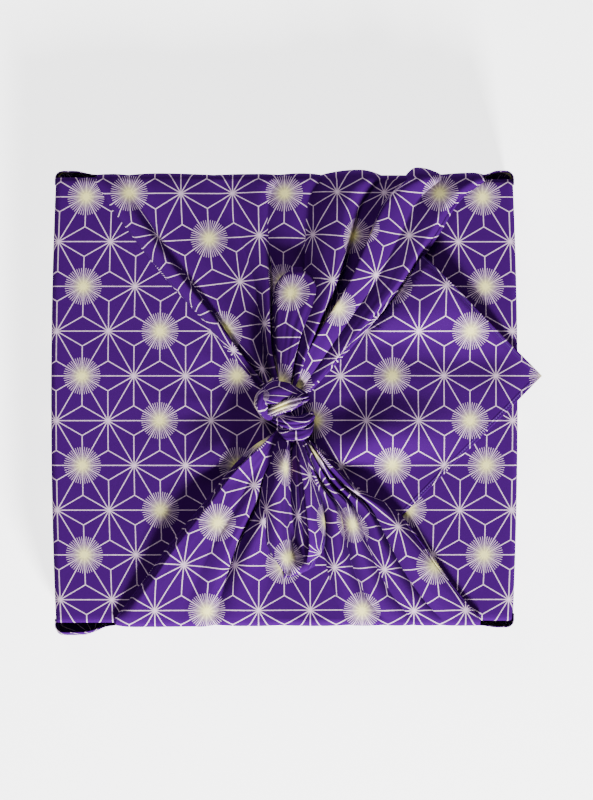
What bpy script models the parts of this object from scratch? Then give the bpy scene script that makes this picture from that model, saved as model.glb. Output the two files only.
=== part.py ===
"""Furoshiki wrap: one square of cotton folded round a low square box and tied once on top.

Metres, +Z up. The origin lies under the middle of the wrapped box, x runs to the right and y away from
the reader. The box itself is not built, so the cloth is a hollow, closed sheet in one piece. Its base,
four sides and right flap are one shell. The left flap lies over the right one, and the upper and lower
corners come up over the edges, run together in folds and are tied in a square knot with two tails.
"""

import math
from typing import NamedTuple

import bmesh
import bpy
from mathutils import Vector

# The cloth and the box that it was folded round
SHEET = 0.002
LAYER_GAP = 0.001
HALF_WIDTH = 0.2070
HALF_DEPTH = 0.2023
SHELL_HEIGHT = 0.052
SIDE_BULGE = 0.0045
CORNER_RADIUS = 0.008

# Levels of the middle of each layer that lies over the shell
FLAP_LEVEL = SHELL_HEIGHT + LAYER_GAP + SHEET / 2
GATHER_LEVEL = FLAP_LEVEL + LAYER_GAP + SHEET
BEND_RADIUS = 0.005

# The left flap: its square tip lies past the right side of the box
TIP_X = 0.2344
TIP_Y = 0.022
FLAP_HALF_DEPTH = 0.2003

# The pocket at the upper right corner, the way into the wrap
POCKET_X = (0.180, 0.2035)
POCKET_Y = (0.1945, 0.2060)

# The knot's middle, the grid that its bands are merged on, and the share of that grid's faces kept
KNOT_CENTRE = Vector((-0.001, -0.008, 0.074))
KNOT_VOXEL = 0.0012
KNOT_SHARE_KEPT = 0.11

COTTON_PURPLE = (0.087, 0.038, 0.254, 1.0)


class FoldLine(NamedTuple):
    """One crest or valley of a gather: its share of the way across and its rise, at three places."""

    name: str
    neck: float
    middle: float
    edge: float
    neck_rise: float
    middle_rise: float
    edge_rise: float


class Gather(NamedTuple):
    """One gathered corner of the cloth, from the knot to the edge of the box and down its side."""

    name: str
    side: float
    left_fold: tuple
    right_fold: tuple
    lines: tuple
    left_pocket: float
    right_pocket: float


UPPER_LINES = (
    FoldLine("left fold", 0.00, 0.00, 0.00, 0.001, 0.001, 0.000),
    FoldLine("left roll", 0.08, 0.055, 0.05, 0.009, 0.007, 0.003),
    FoldLine("valley beside the roll", 0.17, 0.13, 0.09, 0.006, 0.002, 0.0005),
    FoldLine("left panel", 0.27, 0.26, 0.17, 0.013, 0.006, 0.003),
    FoldLine("dip of the panel", 0.33, 0.36, 0.30, 0.011, 0.003, 0.001),
    FoldLine("thin ridge", 0.40, 0.41, 0.42, 0.015, 0.008, 0.002),
    FoldLine("gap beside the tail", 0.47, 0.45, 0.47, 0.010, 0.002, 0.001),
    FoldLine("ridge under the tail", 0.56, 0.53, 0.53, 0.015, 0.006, 0.002),
    FoldLine("dip right of the tail", 0.64, 0.59, 0.58, 0.011, 0.003, 0.001),
    FoldLine("right ridge", 0.72, 0.665, 0.67, 0.016, 0.011, 0.005),
    FoldLine("deep valley", 0.79, 0.725, 0.725, 0.007, 0.000, 0.000),
    FoldLine("right panel", 0.87, 0.85, 0.86, 0.013, 0.009, 0.003),
    FoldLine("right roll", 0.94, 0.955, 0.96, 0.011, 0.011, 0.004),
    FoldLine("right fold", 1.00, 1.00, 1.00, 0.003, 0.005, 0.001),
)

LOWER_LINES = (
    FoldLine("left fold", 0.00, 0.00, 0.00, 0.001, 0.001, 0.000),
    FoldLine("left panel", 0.13, 0.16, 0.18, 0.012, 0.008, 0.003),
    FoldLine("valley of the panel", 0.25, 0.285, 0.28, 0.007, 0.001, 0.0005),
    FoldLine("left ridge", 0.34, 0.335, 0.36, 0.015, 0.009, 0.002),
    FoldLine("gap left of the tail", 0.43, 0.41, 0.45, 0.009, 0.002, 0.001),
    FoldLine("ridge under the tail", 0.53, 0.52, 0.54, 0.012, 0.004, 0.002),
    FoldLine("valley right of the tail", 0.64, 0.625, 0.64, 0.006, 0.001, 0.0005),
    FoldLine("first ridge", 0.71, 0.68, 0.69, 0.014, 0.008, 0.001),
    FoldLine("first dip", 0.745, 0.718, 0.735, 0.010, 0.003, 0.0005),
    FoldLine("second ridge", 0.79, 0.757, 0.77, 0.013, 0.008, 0.001),
    FoldLine("second dip", 0.825, 0.800, 0.815, 0.009, 0.003, 0.0005),
    FoldLine("third ridge", 0.87, 0.846, 0.86, 0.012, 0.007, 0.001),
    FoldLine("third dip", 0.905, 0.880, 0.895, 0.007, 0.003, 0.0005),
    FoldLine("fourth ridge", 0.945, 0.920, 0.93, 0.009, 0.007, 0.002),
    FoldLine("right fold", 1.00, 1.00, 1.00, 0.002, 0.003, 0.001),
)

UPPER = Gather(
    name="upper",
    side=1.0,
    left_fold=(
        (-0.0240, 0.0150),
        (-0.0540, 0.0500),
        (-0.0790, 0.0800),
        (-0.1040, 0.1080),
        (-0.1360, 0.1480),
        (-0.1590, 0.1800),
        (-0.1706, 0.1993),
    ),
    right_fold=(
        (0.0200, 0.0080),
        (0.0470, 0.0370),
        (0.0760, 0.0700),
        (0.1080, 0.1080),
        (0.1350, 0.1480),
        (0.1560, 0.1800),
        (0.1810, 0.1993),
    ),
    lines=UPPER_LINES,
    left_pocket=0.004,
    right_pocket=0.004,
)

LOWER = Gather(
    name="lower",
    side=-1.0,
    left_fold=(
        (-0.0060, -0.0290),
        (-0.0450, -0.0640),
        (-0.0680, -0.0910),
        (-0.1018, -0.1318),
        (-0.1230, -0.1610),
        (-0.1400, -0.1830),
        (-0.1534, -0.1993),
    ),
    right_fold=(
        (0.0220, -0.0370),
        (0.0620, -0.0770),
        (0.0970, -0.0990),
        (0.1210, -0.1270),
        (0.1390, -0.1520),
        (0.1580, -0.1770),
        (0.1780, -0.1993),
    ),
    lines=LOWER_LINES,
    left_pocket=0.0085,
    right_pocket=0.002,
)


def clear_scene():
    for found in list(bpy.data.objects):
        bpy.data.objects.remove(found, do_unlink=True)


def smooth(value):
    """A smooth step from 0 at 0 to 1 at 1."""
    held = min(max(value, 0.0), 1.0)
    return held * held * (3 - 2 * held)


def through_three(neck, middle, edge, along):
    """The value at a share of the way along, on the parabola through the neck, middle and edge values."""
    first = 2 * (along - 0.5) * (along - 1)
    second = 4 * along * (1 - along)
    third = 2 * along * (along - 0.5)
    return neck * first + middle * second + edge * third


def spline_point(points, share):
    """The point at a share of the way along a smooth curve through the points."""
    spans = len(points) - 1
    place = min(max(share, 0.0), 1.0) * spans
    index = min(int(place), spans - 1)
    part = place - index
    before = Vector(points[max(index - 1, 0)])
    start = Vector(points[index])
    end = Vector(points[index + 1])
    after = Vector(points[min(index + 2, spans)])
    curve = start * 2 + (end - before) * part
    curve += (before * 2 - start * 5 + end * 4 - after) * part**2
    curve += (start * 3 - before - end * 3 + after) * part**3
    return curve / 2


def new_object(name, mesh_data):
    """A new object of a bmesh, whose faces are made to look outwards."""
    bmesh.ops.recalc_face_normals(mesh_data, faces=mesh_data.faces)
    bmesh.ops.triangulate(mesh_data, faces=mesh_data.faces)
    mesh = bpy.data.meshes.new(name)
    mesh_data.to_mesh(mesh)
    mesh_data.free()
    made = bpy.data.objects.new(name, mesh)
    bpy.context.scene.collection.objects.link(made)
    return made


def apply_modifiers(body):
    """Keeps the object's mesh as its modifiers leave it."""
    bpy.context.view_layer.update()
    result = bpy.data.meshes.new_from_object(body.evaluated_get(bpy.context.evaluated_depsgraph_get()))
    body.modifiers.clear()
    body.data = result


def combine(body, other, operation):
    """Joins another object to the body or cuts it away, and removes it."""
    join = body.modifiers.new(operation, "BOOLEAN")
    join.operation = operation
    join.solver = "EXACT"
    join.object = other
    apply_modifiers(body)
    bpy.data.objects.remove(other, do_unlink=True)


def lofted(name, rings):
    """A closed solid through a list of rings with the same number of points."""
    work = bmesh.new()
    made = [[work.verts.new(point) for point in ring] for ring in rings]
    count = len(rings[0])
    for lower, upper in zip(made, made[1:]):
        for index in range(count):
            following = (index + 1) % count
            work.faces.new((lower[index], lower[following], upper[following], upper[index]))
    work.faces.new(made[0])
    work.faces.new(made[-1])
    return new_object(name, work)


def sheet(name, points, cells):
    """A sheet of even thickness on a grid.

    points maps (row, column) to a place on the sheet's middle and the way that its outer face looks, and
    cells lists the grid's cells, each by its lowest row and column.
    """
    work = bmesh.new()
    used = sorted({(row + down, column + across) for row, column in cells for down in (0, 1) for across in (0, 1)})
    outer = {key: work.verts.new(points[key][0] + points[key][1] * SHEET / 2) for key in used}
    inner = {key: work.verts.new(points[key][0] - points[key][1] * SHEET / 2) for key in used}
    edges = set()
    for row, column in cells:
        ring = [(row, column), (row + 1, column), (row + 1, column + 1), (row, column + 1)]
        work.faces.new([outer[key] for key in ring])
        work.faces.new([inner[key] for key in reversed(ring)])
        edges.update(zip(ring, ring[1:] + ring[:1]))
    for start, end in edges:
        if (end, start) not in edges:
            work.faces.new((inner[start], inner[end], outer[end], outer[start]))
    return new_object(name, work)


def plan_ring(inset, height):
    """The box's outline at a height, drawn in by the inset, with its left and right sides bulging."""
    radius = max(CORNER_RADIUS - inset, 0.003)
    half_x = HALF_WIDTH - inset
    half_y = HALF_DEPTH - inset
    steps_side = 10
    steps_corner = 3
    ring = []
    for quarter, (along_x, along_y) in enumerate(((1, 1), (-1, 1), (-1, -1), (1, -1))):
        for step in range(steps_corner + 1):
            turn = math.pi / 2 * (quarter + step / steps_corner)
            x = along_x * (half_x - radius) + radius * math.cos(turn)
            y = along_y * (half_y - radius) + radius * math.sin(turn)
            ring.append(Vector((x, y, height)))
        if quarter in (0, 2):
            straight = half_x - radius
            for step in range(1, steps_side):
                x = along_x * straight * (1 - 2 * step / steps_side)
                ring.append(Vector((x, along_y * half_y, height)))
        else:
            straight = half_y - radius
            for step in range(1, steps_side):
                y = along_y * straight * (1 - 2 * step / steps_side)
                bulge = SIDE_BULGE * (1 - (y / straight) ** 2)
                ring.append(Vector((along_x * (half_x + bulge), y, height)))
    return ring


def shell():
    """Base, sides and right flap, with the pocket at the upper right corner cut through."""
    top = SHELL_HEIGHT
    outer = [(0.005, 0.0), (0.0015, 0.0015), (0.0, 0.005), (-0.001, top / 2)]
    outer += [(0.0, top - 0.004), (0.0012, top - 0.0012), (0.004, top)]
    inner = [(0.006, SHEET), (0.0025, 0.0055), (0.002, top / 2)]
    inner += [(0.0025, top - 0.0055), (0.006, top - SHEET)]
    body = lofted("wrap_cloth", [plan_ring(inset, height) for inset, height in outer])
    hollow = lofted("hollow", [plan_ring(inset, height) for inset, height in inner])
    combine(body, hollow, "DIFFERENCE")
    corners = [(x, y) for x, y in zip(POCKET_X + POCKET_X[::-1], (POCKET_Y[0],) * 2 + (POCKET_Y[1],) * 2)]
    cut = [[Vector((x, y, height)) for x, y in corners] for height in (top - 0.010, top + 0.010)]
    combine(body, lofted("pocket cut", cut), "DIFFERENCE")
    return body


def flap_rise(x, y):
    """How far the left flap stands above its level: its edge is lifted at one place, and its tip hangs."""
    past_edge = max(x - 0.208, 0.0) / (TIP_X - 0.208)
    near_edge = smooth((x - 0.150) / 0.050)
    lifted = math.exp(-(((x - 0.181) / 0.022) ** 2) - ((y - 0.075) / 0.022) ** 2)
    soft = 0.0004 * math.sin(31 * x + 9) * math.cos(24 * y)
    return 0.0015 * near_edge + 0.006 * lifted + soft - 0.006 * past_edge**2


def left_flap():
    """The left flap, from the left side's upper edge over the right flap to its square tip."""
    start = -HALF_WIDTH - SIDE_BULGE
    depths = [-FLAP_HALF_DEPTH, -0.17, -0.135, -0.10, -0.07, -0.045, -0.022, 0.0]
    depths += [TIP_Y, 0.040, 0.058, 0.075, 0.092, 0.112, 0.14, 0.17, FLAP_HALF_DEPTH]
    along = [0.0, 0.12, 0.26, 0.40, 0.54, 0.67, 0.78, 0.87, 0.94, 1.0]
    points = {}
    for row, y in enumerate(depths):
        bulge = SIDE_BULGE * (1 - (y / HALF_DEPTH) ** 2)
        wall = -HALF_WIDTH - bulge + SHEET / 2 - 0.0004
        column = 0
        for height in (FLAP_LEVEL - BEND_RADIUS - 0.008, FLAP_LEVEL - BEND_RADIUS):
            points[row, column] = (Vector((wall, y, height)), Vector((-1, 0, 0)))
            column += 1
        for turn in (math.radians(30), math.radians(60)):
            x = wall + BEND_RADIUS * (1 - math.cos(turn))
            height = FLAP_LEVEL - BEND_RADIUS * (1 - math.sin(turn))
            points[row, column] = (Vector((x, y, height)), Vector((-math.cos(turn), 0, math.sin(turn))))
            column += 1
        first = wall + BEND_RADIUS
        last = TIP_X - abs(y - TIP_Y)
        for share in along:
            x = first + (last - first) * share
            rise = flap_rise(x, y) * smooth((x - start) / 0.04)
            points[row, column] = (Vector((x, y, FLAP_LEVEL + rise)), Vector((0, 0, 1)))
            column += 1
    cells = [(row, column) for row in range(len(depths) - 1) for column in range(3 + len(along))]
    return sheet("left flap", points, cells)


def across_line(lines, along):
    """Places across a gather and their rises at a share of the way from knot to edge, three to a fold."""
    parts = 3
    places = []
    for first, second in zip(lines, lines[1:]):
        start = through_three(first.neck, first.middle, first.edge, along)
        end = through_three(second.neck, second.middle, second.edge, along)
        low = through_three(first.neck_rise, first.middle_rise, first.edge_rise, along)
        high = through_three(second.neck_rise, second.middle_rise, second.edge_rise, along)
        for part in range(parts):
            share = part / parts
            if low < high:
                blend = math.sin(math.pi / 2 * share)
            else:
                blend = 1 - math.cos(math.pi / 2 * share)
            places.append((start + (end - start) * share, max(low + (high - low) * blend, 0.0)))
    last = lines[-1]
    places.append((1.0, through_three(last.neck_rise, last.middle_rise, last.edge_rise, along)))
    return places


def gather(shape):
    """A gathered corner: folds over the top, round the box's edge and down the side, where it joins the base."""
    rows_along = [0.0, 0.06, 0.15, 0.27, 0.40, 0.55, 0.70, 0.85, 1.0]
    wall_y = HALF_DEPTH + LAYER_GAP + SHEET / 2
    turn_y = wall_y - BEND_RADIUS
    points = {}
    row = 0
    extra = 2
    inside = []
    for share, rise in across_line(shape.lines, 0.0):
        spot = spline_point(shape.left_fold, 0.0).lerp(spline_point(shape.right_fold, 0.0), share)
        inside.append(Vector((spot.x, spot.y, GATHER_LEVEL + rise)).lerp(KNOT_CENTRE, 0.45))
    for column, place in enumerate(inside):
        points[row, column + extra] = (place, Vector((0, 0, 1)))
    for along in rows_along:
        row += 1
        left = spline_point(shape.left_fold, along)
        right = spline_point(shape.right_fold, along)
        for column, (share, rise) in enumerate(across_line(shape.lines, along)):
            spot = left.lerp(right, share)
            points[row, column + extra] = (Vector((spot.x, spot.y, GATHER_LEVEL + rise)), Vector((0, 0, 1)))
    top_rows = row
    edge = [(left.lerp(right, share).x, rise) for share, rise in across_line(shape.lines, 1.0)]
    turns = [(math.radians(45), 0.8), (math.radians(90), 0.6)]
    for turn, keep in turns:
        row += 1
        outward = Vector((0, shape.side * math.sin(turn), math.cos(turn)))
        centre_y = shape.side * turn_y
        for column, (x, rise) in enumerate(edge):
            centre = Vector((x, centre_y, GATHER_LEVEL - BEND_RADIUS))
            points[row, column + extra] = (centre + outward * (BEND_RADIUS + rise * keep), outward)
    rim_row = row
    outward = Vector((0, shape.side, 0))
    top_height = GATHER_LEVEL - BEND_RADIUS
    bottom_height = 0.0045
    wall_end = HALF_DEPTH - SHEET / 2 + 0.0004
    corner_x = HALF_WIDTH - 0.0025
    for fall in (0.0, 0.40, 0.80, 1.0):
        height = top_height + (bottom_height - top_height) * fall
        stand = wall_y + (wall_end - wall_y) * smooth((fall - 0.5) / 0.4)
        pocket_keep = 1 - smooth(fall / 0.9)
        if fall > 0:
            row += 1
            for column, (x, rise) in enumerate(edge):
                place = Vector((x, shape.side * (stand + rise * 0.6 * pocket_keep), height))
                points[row, column + extra] = (place, outward)
        last_column = len(edge) - 1 + extra
        for step, (share, lift) in enumerate(((1.0, 1.0), (0.5, 0.75))):
            left_x = edge[0][0] + (-corner_x - edge[0][0]) * share
            right_x = edge[-1][0] + (corner_x - edge[-1][0]) * share
            left_y = shape.side * (stand + shape.left_pocket * lift * pocket_keep)
            right_y = shape.side * (stand + shape.right_pocket * lift * pocket_keep)
            points[row, step] = (Vector((left_x, left_y, height)), outward)
            points[row, last_column + extra - step] = (Vector((right_x, right_y, height)), outward)
    columns = len(edge) - 1
    cells = [(upper, extra + column) for upper in range(rim_row) for column in range(columns)]
    cells += [(upper, column) for upper in range(rim_row, row) for column in range(columns + 2 * extra)]
    return sheet(shape.name + " gather", points, cells)


def band(name, route, half_wide, half_thick):
    """A flattened band of bunched cloth that follows the route round the knot's middle."""
    steps = 22
    sides = 12
    rings = []
    for step in range(steps + 1):
        share = step / steps
        place = spline_point(route, share)
        way = spline_point(route, min(share + 0.02, 1.0)) - spline_point(route, max(share - 0.02, 0.0))
        way.normalize()
        out = place - KNOT_CENTRE
        out -= way * out.dot(way)
        out.normalize()
        across = way.cross(out)
        ring = []
        for side in range(sides):
            turn = 2 * math.pi * side / sides
            crease = 1 + 0.10 * math.cos(3 * turn + 4 * share)
            ring.append(place + across * half_wide * crease * math.cos(turn) + out * half_thick * math.sin(turn))
        rings.append(ring)
    return lofted(name, rings)


def knot_core():
    """The middle of the knot, a rounded lump that stands just above the left flap."""
    work = bmesh.new()
    bmesh.ops.create_uvsphere(work, u_segments=16, v_segments=10, radius=1.0)
    for vertex in work.verts:
        vertex.co = Vector((vertex.co.x * 0.018, vertex.co.y * 0.022, vertex.co.z * 0.0190)) + KNOT_CENTRE
    return new_object("knot core", work)


def keep_largest(body):
    """Drops every loose part but the largest, such as a small gap closed in between two folds."""
    work = bmesh.new()
    work.from_mesh(body.data)
    left = set(work.verts)
    groups = []
    while left:
        group = {left.pop()}
        edge_of_group = list(group)
        while edge_of_group:
            near = {edge.other_vert(vertex) for vertex in edge_of_group for edge in vertex.link_edges}
            edge_of_group = list(near & left)
            group |= near
            left -= near
        groups.append(group)
    groups.sort(key=len)
    dropped = [vertex for group in groups[:-1] for vertex in group]
    bmesh.ops.delete(work, geom=dropped, context="VERTS")
    work.to_mesh(body.data)
    work.free()


def knot():
    """The square knot: its core and the two bands wound round it, run together into one lump."""
    pieces = [knot_core(), upper_band(), lower_band()]
    work = bmesh.new()
    for piece in pieces:
        work.from_mesh(piece.data)
        bpy.data.objects.remove(piece, do_unlink=True)
    lump = new_object("knot", work)
    merge = lump.modifiers.new("merge", "REMESH")
    merge.mode = "VOXEL"
    merge.voxel_size = KNOT_VOXEL
    lighten = lump.modifiers.new("lighten", "DECIMATE")
    lighten.ratio = KNOT_SHARE_KEPT
    apply_modifiers(lump)
    keep_largest(lump)
    return lump


def tail(name, route, half_widths, droop):
    """A free end of the cloth: a leaf along its route whose sides fall or rise across it by the droop."""
    rows = 11
    across_steps = 6
    points = {}
    for row in range(rows + 1):
        share = row / rows
        place = spline_point(route, share)
        way = spline_point(route, min(share + 0.02, 1.0)) - spline_point(route, max(share - 0.02, 0.0))
        side = Vector((way.y, -way.x, 0.0)).normalized()
        if side.x < 0:
            side.negate()
        outward = side.cross(way).normalized()
        if outward.z < 0:
            outward.negate()
        half = spline_point([(width, 0.0) for width in half_widths], share).x
        fall = spline_point([(amount, 0.0) for amount in droop], share).x
        for column in range(across_steps + 1):
            across = 2 * column / across_steps - 1
            offset = side * half * across - Vector((0, 0, 1)) * fall * abs(across) ** 1.6
            points[row, column] = (place + offset, outward)
    cells = [(row, column) for row in range(rows) for column in range(across_steps)]
    return sheet(name, points, cells)


def upper_tail():
    route = (
        (0.0000, 0.0020, 0.0880),
        (0.0020, 0.0180, 0.0930),
        (0.0050, 0.0400, 0.0920),
        (0.0090, 0.0680, 0.0850),
        (0.0110, 0.0940, 0.0770),
        (0.0115, 0.1110, 0.0705),
        (0.0110, 0.1190, 0.0650),
    )
    half_widths = (0.0070, 0.0085, 0.0110, 0.0170, 0.0205, 0.0170, 0.0080)
    droop = (0.003, 0.004, 0.005, 0.007, 0.007, 0.004, 0.002)
    return tail("upper tail", route, half_widths, droop)


def lower_tail():
    route = (
        (0.0060, -0.0180, 0.0850),
        (0.0090, -0.0360, 0.0810),
        (0.0095, -0.0600, 0.0730),
        (0.0090, -0.0880, 0.0665),
        (0.0095, -0.1130, 0.0645),
        (0.0110, -0.1330, 0.0670),
        (0.0130, -0.1480, 0.0740),
    )
    half_widths = (0.0080, 0.0100, 0.0160, 0.0220, 0.0260, 0.0240, 0.0100)
    droop = (0.000, -0.003, -0.010, -0.015, -0.014, -0.007, 0.000)
    return tail("lower tail", route, half_widths, droop)


def upper_band():
    """The upper corner's turn through the knot: round on the left, over the front and back to its tail."""
    route = (
        (-0.0030, 0.0180, 0.0720),
        (-0.0175, 0.0080, 0.0760),
        (-0.0150, -0.0080, 0.0840),
        (0.0020, -0.0130, 0.0905),
        (0.0140, -0.0040, 0.0880),
        (0.0120, 0.0090, 0.0860),
        (0.0030, 0.0170, 0.0900),
    )
    return band("upper band", route, 0.0095, 0.0065)


def lower_band():
    """The lower corner's turn through the knot: up on the right, over the back and down to its tail."""
    route = (
        (0.0100, -0.0370, 0.0690),
        (0.0150, -0.0260, 0.0740),
        (0.0160, -0.0100, 0.0760),
        (0.0050, 0.0080, 0.0840),
        (-0.0090, 0.0095, 0.0830),
        (-0.0150, -0.0030, 0.0740),
        (-0.0040, -0.0190, 0.0770),
        (0.0080, -0.0290, 0.0810),
    )
    return band("lower band", route, 0.0090, 0.0065)


def cotton():
    """Purple plain-weave cotton."""
    material = bpy.data.materials.new("purple cotton")
    material.use_nodes = True
    shader = material.node_tree.nodes["Principled BSDF"]
    shader.inputs["Base Color"].default_value = COTTON_PURPLE
    shader.inputs["Roughness"].default_value = 0.75
    shader.inputs["Metallic"].default_value = 0.0
    return material


def build():
    clear_scene()
    body = shell()
    for piece in (left_flap(), gather(UPPER), gather(LOWER), knot(), upper_tail(), lower_tail()):
        combine(body, piece, "UNION")
    keep_largest(body)
    body.data.materials.clear()
    body.data.materials.append(cotton())


build()
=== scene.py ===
"""Furoshiki wrap: the looks of the tied cloth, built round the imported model.

One square of printed cotton lies folded round a low square box. Its base and sides, its two flat flaps, its
two gathered corners, the knot and the two tails are thin sheets with the cloth's own flat coordinates as
their UV map, so the printed lines run on over the folds and break only inside deep pleats.
"""

import logging
import math
from dataclasses import dataclass, field
from enum import Enum
from typing import Callable, NamedTuple

import bmesh
import bpy
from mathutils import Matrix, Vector, noise


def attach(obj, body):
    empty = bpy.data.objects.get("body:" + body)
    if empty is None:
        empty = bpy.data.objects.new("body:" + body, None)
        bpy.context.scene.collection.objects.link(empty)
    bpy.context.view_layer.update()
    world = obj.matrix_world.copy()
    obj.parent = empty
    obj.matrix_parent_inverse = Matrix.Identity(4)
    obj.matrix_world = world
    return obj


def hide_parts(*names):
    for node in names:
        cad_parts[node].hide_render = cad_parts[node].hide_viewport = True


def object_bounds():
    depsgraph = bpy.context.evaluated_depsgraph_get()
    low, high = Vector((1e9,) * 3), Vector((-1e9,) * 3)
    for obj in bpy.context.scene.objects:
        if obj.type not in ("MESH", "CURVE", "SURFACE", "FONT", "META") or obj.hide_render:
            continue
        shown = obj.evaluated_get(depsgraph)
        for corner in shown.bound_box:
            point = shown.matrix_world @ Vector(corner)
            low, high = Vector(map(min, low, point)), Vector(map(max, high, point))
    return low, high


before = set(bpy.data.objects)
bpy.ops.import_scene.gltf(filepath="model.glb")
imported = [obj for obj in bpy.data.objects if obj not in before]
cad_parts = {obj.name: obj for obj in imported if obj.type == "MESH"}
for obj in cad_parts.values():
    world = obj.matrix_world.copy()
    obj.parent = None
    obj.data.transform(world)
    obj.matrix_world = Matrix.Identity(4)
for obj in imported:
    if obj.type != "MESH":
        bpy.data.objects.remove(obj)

CAD_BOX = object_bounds()
LOG = logging.getLogger("furoshiki")

Flat = tuple[float, float]
Column = tuple[float, float, float, int]


class Side(Enum):
    """The four ways that the cloth leaves the base."""

    LEFT = (-1, 0)
    RIGHT = (1, 0)
    UPPER = (0, 1)
    LOWER = (0, -1)


class Hold(Enum):
    """How a sheet lies."""

    LAID = "laid"
    FOLDED = "folded"
    GATHERED = "gathered"


@dataclass(frozen=True)
class WrapSizes:
    """Driving sizes of the cloth and of the box in it, in metres."""

    cloth_half_diagonal: float = 0.7071
    cloth: float = 0.0008
    half_width: float = 0.2070
    half_depth: float = 0.2023
    side_bulge: float = 0.0045
    top: float = 0.0520  # also the flat length of the cloth up a side
    flap_level: float = 0.0542
    gather_level: float = 0.0570
    bend: float = 0.0050
    cloth_shift: float = 0.0220
    tip_x: float = 0.2344

    def bulge(self, y: float) -> float:
        """How far the left and right sides stand out at a depth."""
        return self.side_bulge * max(1 - (y / self.half_depth) ** 2, 0.0)


SIZES = WrapSizes()


def smooth(value: float) -> float:
    """A smooth step from 0 at 0 to 1 at 1."""
    held = min(max(value, 0.0), 1.0)
    return held * held * (3 - 2 * held)


def bump(value: float, middle: float, spread: float) -> float:
    """A bell of height 1 round a middle."""
    return math.exp(-(((value - middle) / spread) ** 2))


def wave(*place: float) -> float:
    """Smooth noise at a place of three numbers."""
    return noise.noise(Vector(place))


def through_three(neck: float, middle: float, edge: float, along: float) -> float:
    """The value at a share along the parabola through the values at the neck, half way and at the edge."""
    first = 2 * (along - 0.5) * (along - 1)
    second = 4 * along * (1 - along)
    third = 2 * along * (along - 0.5)
    return neck * first + middle * second + edge * third


def spline_point(points: tuple, share: float) -> Vector:
    """The point at a share of the way along a smooth curve through some points.

    Args:
        points: The points, two or three numbers each.
        share: Share of the way along, from 0 to 1.

    Returns:
        The point on the curve.
    """
    spans = len(points) - 1
    place = min(max(share, 0.0), 1.0) * spans
    index = min(int(place), spans - 1)
    part = place - index
    before = Vector(points[max(index - 1, 0)])
    start = Vector(points[index])
    end = Vector(points[index + 1])
    after = Vector(points[min(index + 2, spans)])
    curve = start * 2 + (end - before) * part
    curve += (before * 2 - start * 5 + end * 4 - after) * part**2
    curve += (start * 3 - before - end * 3 + after) * part**3
    return curve / 2


def even_steps(start: float, end: float, count: int) -> list[float]:
    """Numbers from start to end, both among them, in count equal steps."""
    return [start + (end - start) * step / count for step in range(count + 1)]


def arc_lengths(line: list[Vector]) -> list[float]:
    """Length along a line of points, from its first point to each of them."""
    arcs = [0.0]
    for before, point in zip(line, line[1:]):
        arcs.append(arcs[-1] + (point - before).length)
    return arcs


def over_edge(path: float, bend: float) -> tuple[float, float]:
    """Where cloth lies that runs over a level and then down a side.

    Args:
        path: Length along the cloth past the start of the bend, negative on the level part.
        bend: Radius of the bend.

    Returns:
        The way outwards from the start of the bend, and the drop.
    """
    if path <= 0:
        return path, 0.0
    turn = min(path / bend, math.pi / 2)
    past = max(path - bend * math.pi / 2, 0.0)
    return bend * math.sin(turn), bend * (1 - math.cos(turn)) + past


@dataclass
class Value:
    """A socket in shader maths, on which Python's operators add Math nodes."""

    graph: "Graph"
    socket: bpy.types.NodeSocket

    def maths(self, operation: str, *others: "Value | float") -> "Value":
        """A Math node on this value and others, as a new value."""
        return self.graph.maths(operation, self, *others)

    def __add__(self, other: "Value | float") -> "Value":
        """Sum."""
        return self.maths("ADD", other)

    def __sub__(self, other: "Value | float") -> "Value":
        """Difference."""
        return self.maths("SUBTRACT", other)

    def __rsub__(self, other: float) -> "Value":
        """Difference from a number."""
        return self.graph.maths("SUBTRACT", other, self)

    def __mul__(self, other: "Value | float") -> "Value":
        """Product."""
        return self.maths("MULTIPLY", other)

    def __truediv__(self, other: "Value | float") -> "Value":
        """Quotient."""
        return self.maths("DIVIDE", other)

    __radd__ = __add__
    __rmul__ = __mul__

    def absolute(self) -> "Value":
        """The value without its sign."""
        return self.maths("ABSOLUTE")

    def least(self, *others: "Value | float") -> "Value":
        """The least of this value and others."""
        value = self
        for other in others:
            value = value.maths("MINIMUM", other)
        return value

    def most(self, *others: "Value | float") -> "Value":
        """The greatest of this value and others."""
        value = self
        for other in others:
            value = value.maths("MAXIMUM", other)
        return value

    def threshold(self, edge: float, soft: float) -> "Value":
        """1 below an edge and 0 above it, with a soft fall as wide as soft on both sides."""
        return self.ramp_down(edge - soft, edge + soft)

    def ramp_down(self, full: float, none: float) -> "Value":
        """1 up to full, a soft fall, and 0 from none on."""
        settings = {"interpolation_type": "SMOOTHSTEP"}
        made = self.graph.node("ShaderNodeMapRange", settings, (self, full, none, 1.0, 0.0))
        return self.graph.value(made.outputs[0])


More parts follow.
